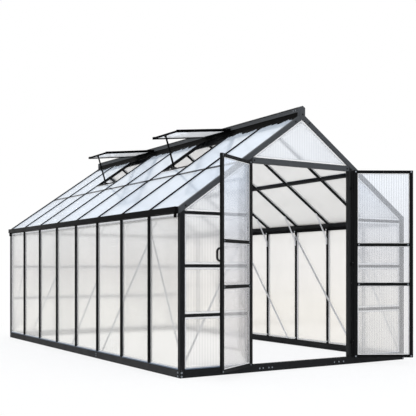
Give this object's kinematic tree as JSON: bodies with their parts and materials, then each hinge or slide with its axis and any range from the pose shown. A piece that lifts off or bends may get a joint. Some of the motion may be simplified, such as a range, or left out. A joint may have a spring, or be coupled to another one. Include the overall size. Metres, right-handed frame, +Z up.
{
  "type": "polycarbonate greenhouse",
  "caption": "walk-in garden greenhouse with a gable roof, dark bar frame, twin-wall panels, double swing doors in one gable and propped roof vents",
  "frame": {"origin": "middle of the doorway threshold's underside, on the ground", "axes": "+Z up; +Y from the doorway into the building, along the ridge; +X to the right of someone walking in"},
  "size_m": [2.5, 4.5815, 2.266],
  "materials": {
    "frame_coating": "fine matt powder coat on aluminium bars",
    "gutter_coating": "satin powder coat on the gutters",
    "black_fittings": "satin black coat on rods and brackets",
    "wall_twin_wall": "clear twin-wall sheet with upright flutes",
    "roof_twin_wall": "clear twin-wall sheet with flutes down the slope",
    "bare_braces": "bare mill aluminium strip"
  },
  "bodies": {
    "greenhouse": {"side_base_rails": "frame_coating", "end_base_rails": "frame_coating", "corner_posts": "frame_coating", "side_wall_posts": "frame_coating", "door_jambs": "frame_coating", "door_header": "frame_coating", "front_side_rails": "frame_coating", "back_wall_posts": "frame_coating", "back_wall_rails": "frame_coating", "eave_beams": "frame_coating", "gutters": "gutter_coating", "gutter_stops_and_spouts": "gutter_coating", "front_verge_bars": "frame_coating", "back_verge_bars": "frame_coating", "ridge_end_caps": "frame_coating", "ridge_beam": "frame_coating", "ridge_cap": "frame_coating", "left_rafters": "frame_coating", "right_rafters": "frame_coating", "roof_purlins": "frame_coating", "vent_sills": "frame_coating", "vent_side_bars": "frame_coating", "vent_cross_bars": "frame_coating", "vent_panels": "roof_twin_wall", "vent_stays": "black_fittings", "left_wall_panels": "wall_twin_wall", "right_wall_panels": "wall_twin_wall", "front_wall_panels": "wall_twin_wall", "back_wall_panels": "wall_twin_wall", "left_roof_panels": "roof_twin_wall", "right_roof_panels": "roof_twin_wall", "left_wall_braces": "bare_braces", "right_wall_braces": "bare_braces", "knee_braces": "bare_braces", "end_wall_braces": "bare_braces", "hinge_brackets": "black_fittings"},
    "left_door": {"left_leaf_stiles": "frame_coating", "left_leaf_rails": "frame_coating", "left_leaf_panels": "wall_twin_wall", "left_leaf_handle": "black_fittings"},
    "right_door": {"right_leaf_stiles": "frame_coating", "right_leaf_rails": "frame_coating", "right_leaf_panels": "wall_twin_wall", "right_leaf_handle": "black_fittings"}
  },
  "joints": [
    {"name": "left_door_hinge", "type": "hinge", "parent": "greenhouse", "child": "left_door", "pos_m": [-0.553, -0.037, 0.9], "axis": [0, 0, 1], "range_deg": [-10, 150]},
    {"name": "right_door_hinge", "type": "hinge", "parent": "greenhouse", "child": "right_door", "pos_m": [0.553, -0.037, 0.9], "axis": [0, 0, -1], "range_deg": [-10, 150]}
  ]
}
